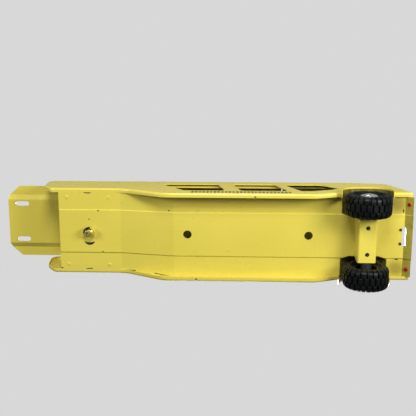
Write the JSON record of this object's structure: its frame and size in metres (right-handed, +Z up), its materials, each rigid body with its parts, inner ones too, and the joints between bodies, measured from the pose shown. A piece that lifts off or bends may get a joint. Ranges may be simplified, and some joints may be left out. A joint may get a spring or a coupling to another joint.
{
  "type": "toy car carrier semi-trailer",
  "caption": "Pressed-steel toy car-carrier semi-trailer with side panels, two decks, drop-down upper ramp, kingpin and one axle.",
  "frame": {"origin": "the kingpin's axis on the lower face of the coupler plate", "axes": "+X to the front of the trailer, +Y to its left, +Z up"},
  "size_m": [0.5357, 0.122, 0.1258],
  "materials": {
    "yellow_paint": "gloss paint on pressed steel, worn at the edges",
    "tyre_rubber": "moulded black rubber, matt",
    "hub_plastic": "moulded black plastic",
    "chrome": "bright plated steel",
    "steel": "plain bright steel",
    "red_lens": "glossy red plastic",
    "stripe_print": "thin dark printed stripe"
  },
  "bodies": {
    "trailer": {"coupler_plate": "yellow_paint", "rear_skirt": "yellow_paint", "lower_deck": "yellow_paint", "upper_deck": "yellow_paint", "side_panel_left": "yellow_paint", "side_panel_right": "yellow_paint", "wheel_housing_left": "yellow_paint", "wheel_housing_right": "yellow_paint", "axle_bracket": "yellow_paint", "crossmember_front": "yellow_paint", "crossmember_rear": "yellow_paint", "kingpin": "chrome", "kingpin_washer": "steel", "ramp_hinge_pin": "steel", "ramp_clip_left": "steel", "ramp_clip_right": "steel", "axle": "steel", "axle_nut_left": "steel", "axle_nut_right": "steel", "tail_light_left": "red_lens", "tail_light_right": "red_lens", "side_stripe_left": "stripe_print", "side_stripe_right": "stripe_print", "rear_rivet_left": "steel", "rear_rivet_right": "steel"},
    "wheel_left": {"tyre_left": "tyre_rubber", "wheel_hub_left": "hub_plastic", "hubcap_left": "chrome"},
    "wheel_right": {"tyre_right": "tyre_rubber", "wheel_hub_right": "hub_plastic", "hubcap_right": "chrome"},
    "ramp": {"upper_ramp": "yellow_paint"}
  },
  "joints": [
    {"name": "wheel_left_spin", "type": "hinge", "parent": "trailer", "child": "wheel_left", "pos_m": [-0.352, 0.044, -0.036], "axis": [0, 1, 0], "continuous": true},
    {"name": "wheel_right_spin", "type": "hinge", "parent": "trailer", "child": "wheel_right", "pos_m": [-0.352, -0.044, -0.036], "axis": [0, 1, 0], "continuous": true},
    {"name": "upper_ramp_hinge", "type": "hinge", "parent": "trailer", "child": "ramp", "pos_m": [-0.256, 0, 0.0573], "axis": [0, -1, 0], "range_deg": [0, 23]}
  ]
}
